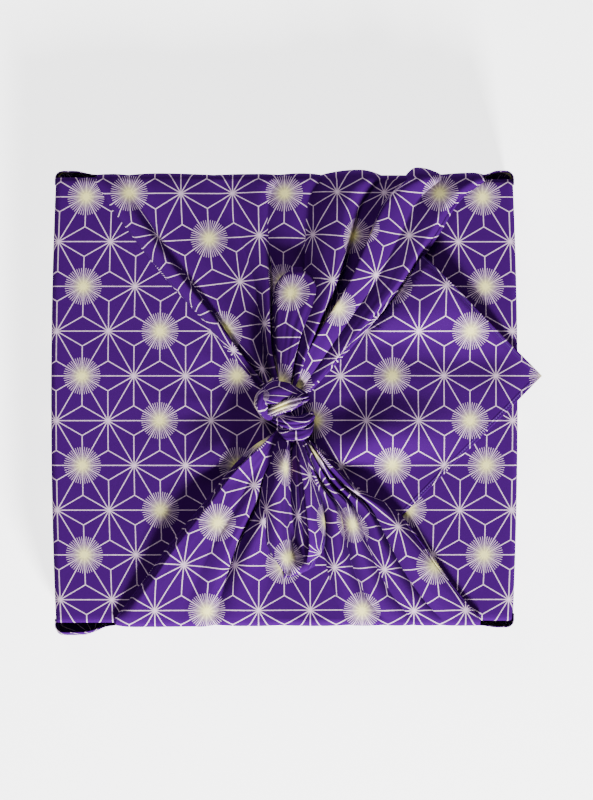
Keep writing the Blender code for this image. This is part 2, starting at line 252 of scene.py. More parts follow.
class Graph:
    """The node tree of one material, with the one method that adds nodes to it."""

    def __init__(self, name: str) -> None:
        """A new material and its empty tree."""
        self.material = bpy.data.materials.new(name)
        self.material.use_nodes = True
        self.tree = self.material.node_tree
        self.tree.nodes.clear()

    def node(self, kind: str, settings: dict | None = None, sockets: object = ()) -> bpy.types.Node:
        """Adds a node.

        Args:
            kind: The node's type.
            settings: Attributes of the node, which are set first.
            sockets: Values or links of its inputs, in order, or by name or number in a dict.

        Returns:
            The node.
        """
        made = self.tree.nodes.new(kind)
        for name, setting in (settings or {}).items():
            setattr(made, name, setting)
        given = sockets.items() if isinstance(sockets, dict) else enumerate(sockets)
        for key, value in given:
            target = made.inputs[key]
            if isinstance(value, Value):
                self.tree.links.new(value.socket, target)
            elif isinstance(value, bpy.types.NodeSocket):
                self.tree.links.new(value, target)
            else:
                target.default_value = value
        return made

    def value(self, socket: bpy.types.NodeSocket) -> Value:
        """A socket as a value."""
        return Value(self, socket)

    def maths(self, operation: str, *terms: Value | float) -> Value:
        """A Math node on some terms."""
        return self.value(self.node("ShaderNodeMath", {"operation": operation}, terms).outputs[0])

    def noise(self, place: bpy.types.NodeSocket, scale: float, detail: float) -> Value:
        """A Noise texture's value."""
        made = self.node("ShaderNodeTexNoise", None, {"Vector": place, "Scale": scale, "Detail": detail})
        return self.value(made.outputs[0])

    def mixed(self, share: Value, first: object, second: object) -> bpy.types.NodeSocket:
        """A colour between two, by a share."""
        settings = {"data_type": "RGBA", "clamp_factor": True}
        made = self.node("ShaderNodeMix", settings, {0: share, 6: first, 7: second})
        return made.outputs[2]

    def finished(self, sockets: dict[str, object]) -> bpy.types.Material:
        """Adds the shader with its sockets and the output, and gives the material."""
        shader = self.node("ShaderNodeBsdfPrincipled", None, sockets)
        self.node("ShaderNodeOutputMaterial", None, (shader.outputs[0],))
        return self.material


@dataclass(frozen=True)
class HempLeafPrint:
    """A generic hemp-leaf line print: triangles with lines from their corners to their middles."""

    edge: float = 0.0470
    line: float = 0.00043
    line_soft: float = 0.00022
    ray: float = 0.00022
    ray_soft: float = 0.0002
    ray_degrees: tuple = (7.5, 15.0, 22.5)
    burst: float = 0.0168
    burst_soft: float = 0.0004
    glow: float = 0.0125

    def lines(self, graph: Graph, along_x: Value, along_y: Value) -> tuple[Value, Value, Value]:
        """The print's masks at flat-cloth coordinates.

        Args:
            graph: The material's tree.
            along_x: First flat coordinate, in metres.
            along_y: Second flat coordinate, in metres.

        Returns:
            The lines' mask with the rays of the bursts, the glow's mask round every third corner,
            and the distance to a corner.
        """
        height = self.edge * math.sqrt(3) / 2
        scaled = []
        for degrees in (90, 210, 330):
            turn = math.radians(degrees)
            scaled.append(along_x * (math.cos(turn) / height) + along_y * (math.sin(turn) / height))
        shares = [value.maths("FRACT") for value in scaled]
        flipped = (shares[0] + shares[1] + shares[2]).maths("GREATER_THAN", 1.5)
        inward = [share + flipped * (1 - 2 * share) for share in shares]
        least = inward[0].least(*inward[1:])
        most = inward[0].most(*inward[1:])
        to_median = (1 - 2 * least - most) / math.sqrt(3)
        middle = 1 - least - most
        distance = least.least(to_median) * height
        along_edge = (middle + least * 0.5) * self.edge
        ray = height
        for degrees in self.ray_degrees:
            turn = math.radians(degrees)
            beside = (least * (height * math.cos(turn)) - along_edge * math.sin(turn)).absolute()
            ray = beside.least(ray)
        corner = ((least * least + least * middle + middle * middle) * (4 / 3)).maths("SQRT") * height
        numbered = (scaled[0].maths("ROUND") - scaled[1].maths("ROUND") + 0.5) / 3
        third = numbered.maths("FRACT").maths("LESS_THAN", 1 / 3)
        glow = corner.ramp_down(self.glow * 0.05, self.glow) * third
        inside = corner.threshold(self.burst, self.burst_soft) * third
        rays = ray.threshold(self.ray, self.ray_soft) * inside
        return distance.threshold(self.line, self.line_soft).most(rays), glow, corner


@dataclass(frozen=True)
class PrintedCotton:
    """Purple plain-weave cotton with the pale lines printed on it."""

    name: str = "printed_cotton"
    ground: tuple = (0.040, 0.0026, 0.102, 1.0)
    ground_deep: tuple = (0.030, 0.0018, 0.077, 1.0)
    lavender: tuple = (0.620, 0.450, 0.610, 1.0)
    cream: tuple = (0.780, 0.720, 0.300, 1.0)
    stitch_colour: tuple = (0.22, 0.13, 0.48, 1.0)
    thread_pitch: float = 0.0011
    hem_width: float = 0.0090
    seam_inset: float = 0.0018
    stitch_pitch: float = 0.0036
    roughness: float = 0.80
    sheen: float = 0.008
    relief_depth: float = 0.0012
    design: HempLeafPrint = field(default_factory=HempLeafPrint)

    def material(self) -> bpy.types.Material:
        """The finish as a material.

        Returns:
            The material, which reads the UV map named cloth, in metres of flat cloth.
        """
        graph = Graph(self.name)
        cloth = graph.node("ShaderNodeUVMap", {"uv_map": "cloth"}).outputs[0]
        apart = graph.node("ShaderNodeSeparateXYZ", None, (cloth,))
        along_x = graph.value(apart.outputs[0])
        along_y = graph.value(apart.outputs[1])
        line, glow, corner = self.design.lines(graph, along_x, along_y)

        place = graph.node("ShaderNodeTexCoord").outputs[3]
        cloudy = graph.noise(place, 11.0, 3.0)
        slub = graph.noise(place, 420.0, 2.0)
        ground = graph.mixed(cloudy * 0.7 + slub * 0.5 - 0.1, self.ground_deep, self.ground)

        worn = slub.ramp_down(0.75, 0.30) * 0.25
        ink = graph.mixed(glow * 1.2, self.lavender, self.cream)
        core = corner.ramp_down(0.0005, 0.0040) * glow
        colour = graph.mixed((line * (1 - worn) + core * 0.6).least(1.0), ground, ink)

        threads = 2 * math.pi / self.thread_pitch
        weave = (along_x * threads).maths("SINE") * (along_y * threads).maths("SINE") * 0.5 + slub * 0.8
        to_cut_edge = (SIZES.cloth_half_diagonal - along_x.absolute() - along_y.absolute()) / math.sqrt(2)
        hem = to_cut_edge.threshold(self.hem_width, 0.0006)
        seam = (to_cut_edge - (self.hem_width - self.seam_inset)).absolute().ramp_down(0.0002, 0.0009)
        beside = (along_x - along_y).absolute() * (1 / self.stitch_pitch)
        stitch = seam * beside.maths("FRACT").ramp_down(0.60, 0.72)
        relief = weave * 0.06 + hem * 0.4 - seam * 0.5 + stitch * 0.3 + line * 0.08
        bump_sockets = {"Strength": 0.7, "Distance": self.relief_depth, "Height": relief}
        bumped = graph.node("ShaderNodeBump", None, bump_sockets)

        return graph.finished(
            {
                "Base Color": graph.mixed(stitch * 0.20, colour, self.stitch_colour),
                "Roughness": self.roughness + line * 0.06 + slub * 0.08,
                "Normal": bumped.outputs[0],
                "Sheen Weight": self.sheen,
                "Sheen Roughness": 0.45,
                "Specular IOR Level": 0.005,
            }
        )


@dataclass(frozen=True)
class PaleFloor:
    """A plain pale matt floor that glows a little, as a lit table does."""

    name: str = "pale_floor"
    glow: float = 3.0
    colour: tuple = (0.93, 0.93, 0.935, 1.0)

    def material(self) -> bpy.types.Material:
        """The finish as a material."""
        return Graph(self.name).finished(
            {
                "Base Color": self.colour,
                "Roughness": 0.9,
                "Emission Color": self.colour,
                "Emission Strength": self.glow,
            }
        )


@dataclass
class ClothPiece:
    """A thin sheet made cell by cell on grids of points, with flat-cloth coordinates as its UV map."""

    name: str
    work: bmesh.types.BMesh = field(default_factory=bmesh.new)

    def __post_init__(self) -> None:
        """Adds the UV map."""
        self.flat = self.work.loops.layers.uv.new("cloth")

    def add_grid(
        self,
        places: list[list[Vector]],
        flat_at: Callable[[int, int, int], Flat],
        flip: bool = False,
        keep: Callable[[int, int], bool] | None = None,
        closed: bool = False,
    ) -> None:
        """Adds a grid of cells.

        Args:
            places: Rows of points.
            flat_at: Flat coordinates of a point, by its row, its column and its cell's column.
            flip: Whether the cells' other side looks outwards.
            keep: Says whether a cell, by its row and column, is made; all are when it is left out.
            closed: Whether the last column joins the first.
        """
        points = {}
        columns = len(places[0])
        for row in range(len(places) - 1):
            for column in range(columns if closed else columns - 1):
                if keep is not None and not keep(row, column):
                    continue
                corners = [(row, column), (row, column + 1), (row + 1, column + 1), (row + 1, column)]
                if flip:
                    corners.reverse()
                for down, across in corners:
                    key = (down, across % columns)
                    if key not in points:
                        points[key] = self.work.verts.new(places[key[0]][key[1]])
                face = self.work.faces.new([points[down, across % columns] for down, across in corners])
                face.smooth = True
                for loop, (down, across) in zip(face.loops, corners):
                    loop[self.flat].uv = flat_at(down, across, column)

    def close(self, ring: list[Vector], flat_at: Callable[[int], Flat]) -> None:
        """Closes the first ring of a grid with one face, which looks the other way round.

        Args:
            ring: The ring's points.
            flat_at: Flat coordinates of a point, by its number.
        """
        rim = [self.work.verts.new(point) for point in ring]
        face = self.work.faces.new(rim[::-1])
        face.smooth = True
        for loop, column in zip(face.loops, reversed(range(len(ring)))):
            loop[self.flat].uv = flat_at(column)
        bmesh.ops.remove_doubles(self.work, verts=self.work.verts[:], dist=1e-6)

    def finish(
        self, material: bpy.types.Material, thickness: float, inward: float = 1.0
    ) -> bpy.types.Object:
        """Makes the piece an object of even thickness.

        Args:
            material: The cloth's finish.
            thickness: The cloth's thickness, or 0 for a closed form that needs none.
            inward: Share of the thickness that lies behind the made surface.

        Returns:
            The object.
        """
        mesh = bpy.data.meshes.new(self.name)
        self.work.to_mesh(mesh)
        self.work.free()
        piece = bpy.data.objects.new(self.name, mesh)
        bpy.context.scene.collection.objects.link(piece)
        piece.data.materials.append(material)
        if thickness > 0:
            bpy.ops.object.select_all(action="DESELECT")
            bpy.context.view_layer.objects.active = piece
            piece.select_set(True)
            solid = piece.modifiers.new("cloth thickness", "SOLIDIFY")
            solid.thickness = thickness
            solid.offset = 1 - 2 * inward
            bpy.ops.object.modifier_apply(modifier=solid.name)
        return piece


def looked_up(flats: list[list[Flat]], hand: int = 1) -> Callable[[int, int, int], Flat]:
    """Flat coordinates for a grid from a table by row and column, the second ones times a hand."""
    return lambda row, column, cell: (flats[row][column][0], hand * flats[row][column][1])


class Layer:
    """A part of the cloth that is built as one piece."""

    def build(self) -> bpy.types.Object:
        """Models the piece, each layer in its own way."""
        raise NotImplementedError

    def dress(self, flat: Flat, hold: Hold, rests_on: list[str], area: float | None = None) -> None:
        """Builds the piece, hangs it on the root empty, hides the imported cloth and logs its faces.

        Args:
            flat: Its width and length, laid flat; not used.
            hold: How it lies; not used.
            rests_on: Names of what it lies on; not used.
            area: Its flat area where its cut isn't a rectangle; not used.
        """
        piece = self.build()
        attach(piece, "root")
        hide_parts("wrap_cloth")
        LOG.info("%s: %d faces", piece.name, len(piece.data.polygons))


@dataclass
class BaseAndSides(Layer):
    """The cloth under the box and up its four sides, which the other layers lie over."""

    cotton: bpy.types.Material
    lip: float = 0.0030
    corner: float = 0.0080
    least_corner: float = 0.0020
    inset: float = 0.0014
    lift: float = 0.0001
    insets_below: tuple = (0.150, 0.080, 0.030)
    side_steps: int = 40
    corner_steps: int = 5

    def outline(self, inset: float) -> list[Vector]:
        """The box's outline in plan, drawn in by an inset.

        Args:
            inset: How far inside the box's sides it runs.

        Returns:
            Points round the box, at height 0.
        """
        radius = max(self.corner - inset, self.least_corner)
        half_x = SIZES.half_width - inset
        half_y = SIZES.half_depth - inset
        ring = []
        for quarter, (side_x, side_y) in enumerate(((1, 1), (-1, 1), (-1, -1), (1, -1))):
            for turn in even_steps(math.pi / 2 * quarter, math.pi / 2 * (quarter + 1), self.corner_steps):
                x = side_x * (half_x - radius) + radius * math.cos(turn)
                y = side_y * (half_y - radius) + radius * math.sin(turn)
                ring.append(Vector((x, y, 0.0)))
            for share in even_steps(1.0, -1.0, self.side_steps)[1:-1]:
                if quarter in (0, 2):
                    ring.append(Vector((side_x * (half_x - radius) * share, side_y * half_y, 0.0)))
                else:
                    y = side_y * (half_y - radius) * share
                    ring.append(Vector((side_x * (half_x + SIZES.bulge(y)), y, 0.0)))
        return ring

    def build(self) -> bpy.types.Object:
        """Models the piece.

        Returns:
            The finished object.
        """
        profile = [(inset, 0.0) for inset in (*self.insets_below, self.lip)]
        profile += [(self.lip * 0.3, self.lip * 0.3), (0.0, self.lip)]
        profile += [(0.0, height) for height in even_steps(self.lip, SIZES.top - 0.004, 5)[1:]]
        profile += [(0.0008, SIZES.top - 0.0022)]
        places = []
        for inset, height in profile:
            ring = self.outline(inset + self.inset)
            places.append([Vector((point.x, point.y, height + self.lift)) for point in ring])

        def flat_at(row: int, column: int, cell: int) -> Flat:
            """Flat coordinates: a side unfolds straight outwards from the base."""
            point = places[row][column % len(places[0])]
            up = max(point.z - self.lip, 0.0)
            stretch = 1 + up / SIZES.half_width
            return point.x * stretch, (point.y - SIZES.cloth_shift) * stretch

        piece = ClothPiece("base_and_sides")
        piece.add_grid(places, flat_at, closed=True)
        piece.close(places[0], lambda column: flat_at(0, column, column))
        return piece.finish(self.cotton, SIZES.cloth)


def long_folds(x: float, y: float) -> float:
    """Rise of the long folds that run from the knot to both sides, steeper on their near side.

    Args:
        x: Place across the box.
        y: Depth.

    Returns:
        The rise in metres.
    """
    if x > 0:
        height = 0.0110 * smooth((x - 0.006) / 0.026) * (1 - smooth((x - 0.085) / 0.095))
        crest = -0.0310 - 0.0160 * (1 - smooth((x - 0.045) / 0.050))
    else:
        height = 0.0095 * smooth((-x - 0.006) / 0.016) * (1 - smooth((-x - 0.050) / 0.055))
        crest = -0.0440 - 0.0060 * smooth((-x - 0.030) / 0.040)
    if y > crest:
        part = min((y - crest) / 0.044, 1.0)
    else:
        part = min((crest - y) / 0.030, 1.0)
    ridge = height * (0.5 + 0.5 * math.cos(math.pi * part))
    dent = -0.0024 * bump(y, 0.012, 0.020) * bump(x, 0.0, 0.075)
    band = smooth((x - 0.050) / 0.045) * (1 - smooth((x - 0.190) / 0.030))
    step = 0.0034 * band * smooth((0.042 - y) / 0.034) * smooth((y + 0.060) / 0.050)
    return ridge + dent + step


@dataclass
class FlatFlap(Layer):
    """One of the two flaps that lie flat over the box, with the side of the box that it comes up."""

    name: str
    side: Side
    cotton: bpy.types.Material
    level: float
    half_depth: float
    tuck: float = 0.0120
    wall_foot: float = 0.0030
    side_gap: float = 0.0006
    depth_bend: float = 0.0030
    hidden_from: float = 0.10
    fine_tip: float = 0.0150
    box_edge: float = 0.2060
    least_height: float = 0.0020
    near_steps: int = 60
    far_steps: int = 50
    tuck_steps: int = 8
    wall_steps: int = 9
    bend_steps: int = 5
    across_steps: int = 84
    tip_steps: int = 12

    def reach(self, y: float) -> float:
        """How far past the middle the flap goes at a depth."""
        return SIZES.tip_x - abs(y - SIZES.cloth_shift)

    def pull(self, x: float, y: float) -> float:
        """Shallow folds that the knot's pull draws in both flaps alike.

        Args:
            x: Place across the box.
            y: Depth.

        Returns:
            The rise in metres.
        """
        away_x = x + 0.001
        away_y = y + 0.008
        far = math.hypot(away_x, away_y)
        angle = math.atan2(away_y, away_x)
        rays = wave(math.cos(angle) * 2.6, math.sin(angle) * 2.6, 3.0)
        rays += 0.5 * wave(math.cos(angle) * 6, math.sin(angle) * 6, 8.0)
        soft = wave(x * 11, y * 11, 1.0) + 0.6 * wave(x * 24, y * 24, 5.0)
        return 0.0016 * rays * bump(far, 0.085, 0.05) + 0.0008 * soft + long_folds(x, y)

    def rise(self, outward: float, y: float) -> float:
        """How far the flap stands above its level.

        Args:
            outward: Place along the flap, from its own side at negative values to its tip at positive ones.
            y: Depth.

        Returns:
            The rise in metres.
        """
        waves = self.pull(-self.side.value[0] * outward, y)
        if self.side is Side.RIGHT:
            return waves
        past_edge = max(outward - self.box_edge, 0.0) / (SIZES.tip_x - self.box_edge)
        near_edge = smooth((outward - 0.165) / 0.040)
        to_cut = (self.reach(y) - outward) / math.sqrt(2)
        lifted = 0.0140 * smooth((y - 0.032) / 0.052) * bump(outward, 0.163, 0.044)
        lifted *= 1 - 0.25 * smooth(1 - to_cut / 0.008)
        beside = (outward - 0.0733) * 0.827 - (y - 0.0611) * 0.563
        puffed = smooth((beside - 0.001) / 0.0080) * (1 - smooth((beside - 0.028) / 0.045))
        puffed *= 0.0100 * smooth((y - 0.048) / 0.030) * smooth((outward - 0.050) / 0.020)
        return 0.0014 * near_edge + lifted + puffed + waves - 0.0050 * past_edge**2

    def build(self) -> bpy.types.Object:
        """Models the flap and its side.

        Returns:
            The finished object.
        """
        hand = self.side.value[0]
        quarter = SIZES.bend * math.pi / 2
        straight = self.half_depth - self.depth_bend
        depths = even_steps(-straight, SIZES.cloth_shift, self.near_steps)[:-1]
        depths += even_steps(SIZES.cloth_shift, straight, self.far_steps)
        tucked = even_steps(0.0, self.depth_bend * math.pi / 2 + self.tuck, self.tuck_steps)[1:]
        rows = [(-straight, -step) for step in reversed(tucked)]
        rows += [(y, 0.0) for y in depths]
        rows += [(straight, step) for step in tucked]
        wall = self.level - SIZES.bend - self.wall_foot
        downs = [-length for length in reversed(even_steps(0.0, wall, self.wall_steps))][:-1]
        turns = even_steps(0.0, quarter, self.bend_steps)
        near_tip = even_steps(0.0, self.fine_tip, self.tip_steps)
        outer = len(downs) + len(turns)
        edge_length = SIZES.half_width + SIZES.top
        places = []
        flats = []
        for y_level, past in rows:
            out, drop = over_edge(abs(past), self.depth_bend)
            y = y_level + math.copysign(out, past) if past else y_level
            start = SIZES.half_width + SIZES.bulge(y_level) + self.side_gap
            last = self.reach(y_level)
            if self.side is Side.RIGHT:
                last = min(last, self.hidden_from)
            first = -start + SIZES.bend
            line = []
            flat_line = []
            for down in downs:
                height = self.level - SIZES.bend + down
                line.append(Vector((-start, y, height)))
                flat_line.append(down - quarter)
            for turn in turns:
                angle = math.pi / 2 - turn / SIZES.bend
                x = first - SIZES.bend * math.sin(angle)
                line.append(Vector((x, y, self.level - SIZES.bend * (1 - math.cos(angle)))))
                flat_line.append(turn - quarter)
            inner = last - near_tip[-1]
            for share in even_steps(0.0, 1.0, self.across_steps)[1:]:
                line.append(Vector((first + (inner - first) * share, y, self.level)))
            for step in near_tip[1:]:
                line.append(Vector((inner + step, y, self.level)))
            flat_line += [point.x - first for point in line[outer:]]
            for index, point in enumerate(line):
                fade = smooth((point.x - first) / 0.04) * (1 - smooth(abs(past) / 0.004))
                point.z += self.rise(point.x, y_level) * fade
                if index < outer:
                    point.z = max(self.level - math.hypot(self.level - point.z, drop), self.least_height)
                else:
                    point.z -= drop
                point.x *= -hand
            places.append(line)
            across = y_level - SIZES.cloth_shift + past
            flats.append([(hand * (edge_length + length), across) for length in flat_line])
        piece = ClothPiece(self.name)
        piece.add_grid(places, looked_up(flats), flip=self.side is Side.LEFT)
        return piece.finish(self.cotton, SIZES.cloth)


class FoldLine(NamedTuple):
    """A crest or valley: its share of the way across and its rise at three places, and its lean sideways.

    The places are the neck at the knot, the middle of the way and the edge, which is a tail's free end.
    """

    name: str
    neck: float
    middle: float
    edge: float
    neck_rise: float
    middle_rise: float
    edge_rise: float
    lean: float = 0.0
    splits: bool = False

    def share_at(self, along: float) -> float:
        """Its share of the way across, at a share of the way along."""
        return through_three(self.neck, self.middle, self.edge, along)

    def rise_at(self, along: float) -> float:
        """Its rise, at a share of the way along."""
        return through_three(self.neck_rise, self.middle_rise, self.edge_rise, along)


def folded_section(
    lines: tuple[FoldLine, ...], parts: int, along: float, power: float, lowest: float
) -> list[Column]:
    """The section of some folds at a share of the way along.

    Args:
        lines: The fold lines, from left to right.
        parts: How many columns lie from one line to the next.
        along: Share of the way from the knot to the far end.
        power: Power of the curve between two lines, 1 for a round one and less for a fuller one.
        lowest: The least rise of a line.

    Returns:
        For each column its share across, its rise, its lean sideways and the number of its panel.
    """
    section = []
    panel = 0
    for first, second in zip(lines, lines[1:]):
        panel += first.splits
        start, end = first.share_at(along), second.share_at(along)
        low, high = max(first.rise_at(along), lowest), max(second.rise_at(along), lowest)
        for part in range(parts):
            share = part / parts
            turn = math.pi / 2 * share
            blend = math.sin(turn) ** power if low < high else 1 - math.cos(turn) ** power
            lean = first.lean * (1 - smooth(share)) + second.lean * smooth(share)
            section.append((start + (end - start) * share, low + (high - low) * blend, lean, panel))
    section.append((1.0, lines[-1].rise_at(along), 0.0, panel))
    return section


UPPER_LINES = (
    FoldLine("left fold", 0.00, 0.00, 0.00, 0.002, 0.002, 0.001),
    FoldLine("left roll", 0.07, 0.045, 0.04, 0.013, 0.0095, 0.002, 0.003),
    FoldLine("valley beside the roll", 0.12, 0.085, 0.08, 0.002, 0.0008, 0.0005, 0.0, True),
    FoldLine("left panel", 0.24, 0.24, 0.17, 0.016, 0.0085, 0.0030),
    FoldLine("dip of the panel", 0.33, 0.36, 0.30, 0.003, 0.0020, 0.0005),
    FoldLine("thin ridge", 0.38, 0.405, 0.42, 0.020, 0.0110, 0.002, 0.003),
    FoldLine("gap beside the tail", 0.43, 0.44, 0.47, 0.002, 0.0010, 0.0008, 0.0, True),
    FoldLine("ridge under the tail", 0.53, 0.52, 0.53, 0.014, 0.0090, 0.003),
    FoldLine("dip right of the tail", 0.61, 0.575, 0.58, 0.002, 0.0010, 0.0005, 0.0, True),
    FoldLine("right ridge", 0.725, 0.690, 0.680, 0.024, 0.0225, 0.0080, 0.001),
    FoldLine("foot of the right ridge", 0.76, 0.735, 0.735, 0.001, 0.0004, 0.0002),
    FoldLine("deep valley", 0.785, 0.782, 0.800, 0.001, 0.0002, 0.0001, 0.0, True),
    FoldLine("right panel's fold", 0.82, 0.802, 0.828, 0.020, 0.0205, 0.0110, -0.0080),
    FoldLine("dip of the right panel", 0.89, 0.885, 0.890, 0.012, 0.0095, 0.0015),
    FoldLine("right roll", 0.96, 0.965, 0.970, 0.014, 0.0140, 0.004, 0.003),
    FoldLine("right fold", 1.00, 1.00, 1.00, 0.005, 0.007, 0.001),
)

LOWER_LINES = (
    FoldLine("left fold", 0.00, 0.00, 0.00, 0.004, 0.005, 0.001),
    FoldLine("left roll", 0.05, 0.035, 0.04, 0.014, 0.0120, 0.003, -0.003),
    FoldLine("left panel", 0.15, 0.170, 0.18, 0.013, 0.0085, 0.003),
    FoldLine("edge of the panel", 0.20, 0.225, 0.23, 0.014, 0.0100, 0.003, 0.003),
    FoldLine("valley of the panel", 0.25, 0.270, 0.27, 0.002, 0.0005, 0.0003, 0.0, True),
    FoldLine("left ridge", 0.34, 0.330, 0.36, 0.021, 0.0120, 0.002, 0.001),
    FoldLine("gap left of the tail", 0.42, 0.400, 0.45, 0.004, 0.001, 0.0008, 0.0, True),
    FoldLine("ridge under the tail", 0.52, 0.510, 0.54, 0.012, 0.003, 0.002),
    FoldLine("valley right of the tail", 0.62, 0.615, 0.64, 0.001, 0.0004, 0.0004, 0.0, True),
    FoldLine("first ridge", 0.69, 0.665, 0.68, 0.021, 0.0130, 0.0015, 0.002),
    FoldLine("first dip", 0.735, 0.708, 0.735, 0.003, 0.001, 0.0004, 0.0, True),
    FoldLine("second ridge", 0.785, 0.747, 0.77, 0.019, 0.0125, 0.0015, 0.002),
    FoldLine("second dip", 0.825, 0.792, 0.815, 0.003, 0.001, 0.0004, 0.0, True),
    FoldLine("third ridge", 0.87, 0.835, 0.86, 0.017, 0.0115, 0.0015, 0.002),
    FoldLine("third dip", 0.905, 0.877, 0.895, 0.003, 0.001, 0.0004, 0.0, True),
    FoldLine("fourth ridge", 0.945, 0.920, 0.93, 0.014, 0.0110, 0.002, 0.003),
    FoldLine("right fold", 1.00, 1.00, 1.00, 0.003, 0.004, 0.001),
)

UPPER_TAIL_LINES = (
    FoldLine("left edge", 0.00, 0.00, 0.00, 0.000, 0.000, 0.000),
    FoldLine("left shoulder", 0.22, 0.14, 0.16, 0.0060, 0.0080, 0.0075, -0.001),
    FoldLine("shallow dip", 0.48, 0.46, 0.50, 0.0075, 0.0090, 0.0085),
    FoldLine("right shoulder", 0.80, 0.86, 0.84, 0.0080, 0.0085, 0.0075, 0.001),
    FoldLine("right edge", 1.00, 1.00, 1.00, 0.000, 0.000, 0.000),
)

LOWER_TAIL_LINES = (
    FoldLine("left edge", 0.00, 0.00, 0.00, 0.000, 0.000, 0.000),
    FoldLine("left rim", 0.25, 0.24, 0.14, 0.0060, 0.0165, 0.0080, 0.002),
    FoldLine("inner side", 0.36, 0.36, 0.35, 0.0040, 0.0100, 0.0075),
    FoldLine("left of the hollow", 0.44, 0.44, 0.46, 0.0005, 0.0005, 0.0000),
    FoldLine("hollow", 0.50, 0.49, 0.55, 0.0000, -0.0005, 0.0000),
    FoldLine("wall of the hollow", 0.62, 0.63, 0.68, 0.0070, 0.0120, 0.0050),
    FoldLine("upper wall", 0.70, 0.71, 0.76, 0.0115, 0.0185, 0.0100),
    FoldLine("right rim", 0.80, 0.81, 0.84, 0.0140, 0.0245, 0.0150, -0.004),
    FoldLine("right edge", 1.00, 1.00, 1.00, 0.000, 0.000, 0.000),
)


@dataclass
class Gather(Layer):
    """One gathered corner of the cloth: up its side of the box, over the edge and in folds to the knot."""

    name: str
    side: Side
    cotton: bpy.types.Material
    left_fold: tuple
    right_fold: tuple
    lines: tuple
    left_pocket: float
    right_pocket: float
    seed: float
    knot_middle: tuple = (-0.001, -0.008, 0.074)
    parts: int = 12
    rows_on_top: int = 84
    row_power: float = 1.25
    fold_power: float = 0.9
    neck_pulls: tuple = (0.5, 0.25)
    bend_steps: int = 6
    wall_rows: int = 14
    wall_rise: float = 0.65
    ripple: float = 0.0008
    wall_gap: float = 0.0020
    wall_foot: float = 0.0030
    corner_columns: int = 14
    corner_radius: float = 0.0065
    corner_gap: float = 0.0018
    corner_steps: int = 5
    straight_over: float = 0.22
    corner_flat: float = 0.0120
    tuck: float = 0.0160

    def section(self, along: float) -> list[Column]:
        """The section of the folds at a share of the way from the knot to the edge."""
        return folded_section(self.lines, self.parts, along, self.fold_power, 0.0)

    def wrinkle(self, share: float, along: float) -> float:
        """Small creases that run towards the knot, strongest near it."""
        drift = share + 0.02 * math.sin(5 * along + self.seed)
        value = 0.0
        for count, size in ((17, 0.0007), (31, 0.0005), (53, 0.00025)):
            value += size * wave(drift * count, along * 1.7, self.seed + count)
        soft = wave(share * 6, along * 5, self.seed + 40) * 0.0009
        return value * (1.15 - along) * smooth(along / 0.08) * 1.6 + soft * smooth(along / 0.2)

    def build(self) -> bpy.types.Object:
        """Models the gather.

        Returns:
            The finished object.
        """
        hand = self.side.value[1]
        wall_y = SIZES.half_depth + self.wall_gap
        turn_y = wall_y - SIZES.bend
        level = SIZES.gather_level
        rows = []
        for along in even_steps(0.0, 1.0, self.rows_on_top):
            along **= self.row_power
            left = spline_point(self.left_fold, along)
            right = spline_point(self.right_fold, along)
            way = (right - left).normalized()
            line = []
            for share, rise, lean, _ in self.section(along):
                spot = left.lerp(right, share) + way * (lean * (1 - along**2))
                under = max(long_folds(spot.x, spot.y), 0.0) * 0.9
                height = level + under + rise + self.wrinkle(share, along) * smooth(rise / 0.002)
                line.append(Vector((spot.x, spot.y, height)))
            rows.append(line)
        centre = Vector(self.knot_middle)
        rows = [[point.lerp(centre, pull) for point in rows[0]] for pull in self.neck_pulls] + rows
        panels = [panel for _, _, _, panel in self.section(0.5)]
        columns = len(panels)
        edge = rows[-1]
        edge_rise = [point.z - level for point in edge]
        top_rows = len(rows)
        for turn in even_steps(0.0, math.pi / 2, self.bend_steps)[1:]:
            line = []
            for point, rise in zip(edge, edge_rise):
                out = SIZES.bend + rise * (1 - 0.35 * math.sin(turn))
                y = hand * (turn_y + out * math.sin(turn))
                line.append(Vector((point.x, y, level - SIZES.bend + out * math.cos(turn))))
            rows.append(line)
        rim_row = len(rows) - 1
        rim = level - SIZES.bend
        for fall in even_steps(0.0, 1.0, self.wall_rows)[1:]:
            height = rim + (self.wall_foot - rim) * fall
            inward = (wall_y - SIZES.half_depth - 0.0004) * smooth((fall - 0.5) / 0.5)
            keep = 1 - smooth(fall / 0.95)
            line = []
            for point, rise in zip(edge, edge_rise):
                ripple = self.ripple * wave(point.x * 30, fall * 2, self.seed) * keep
                y = hand * (wall_y - inward + rise * self.wall_rise * keep + ripple)
                line.append(Vector((point.x, y, height)))
            rows.append(line)
        extra = self.corner_columns
        full = []
        for index, line in enumerate(rows):
            if index < rim_row:
                full.append([line[0]] * extra + line + [line[-1]] * extra)
                continue
            fall = (index - rim_row) / self.wall_rows
            before = self.round_corner(line[0], -1, self.left_pocket, fall)
            after = self.round_corner(line[-1], 1, self.right_pocket, fall)
            full.append(before[::-1] + line + after)
        flats, seams = self.flat_lengths(rows, panels, top_rows)

        def flat_at(row: int, column: int, cell: int) -> Flat:
            """Flat coordinates, on a seam those of the cell's own panel."""
            inside = min(max(column - extra, 0), columns - 1)
            own = min(max(cell - extra, 0), columns - 2)
            first, second = flats[row][inside]
            shift = 0.0
            if column - extra != inside:
                place = full[row][column] - rows[row][inside]
                shift = place.x + math.copysign(min(abs(place.y), self.corner_flat), place.x)
            if (row, inside) in seams and own == inside - 1:
                first, second = seams[row, inside]
            return first + shift, hand * second

        piece = ClothPiece(self.name)
        piece.add_grid(
            full,
            flat_at,
            flip=hand < 0,
            keep=lambda row, column: row >= rim_row or extra <= column < columns - 1 + extra,
        )
        self.add_tucks(piece, rows, top_rows, flats, hand)
        return piece.finish(self.cotton, SIZES.cloth, 0.5)

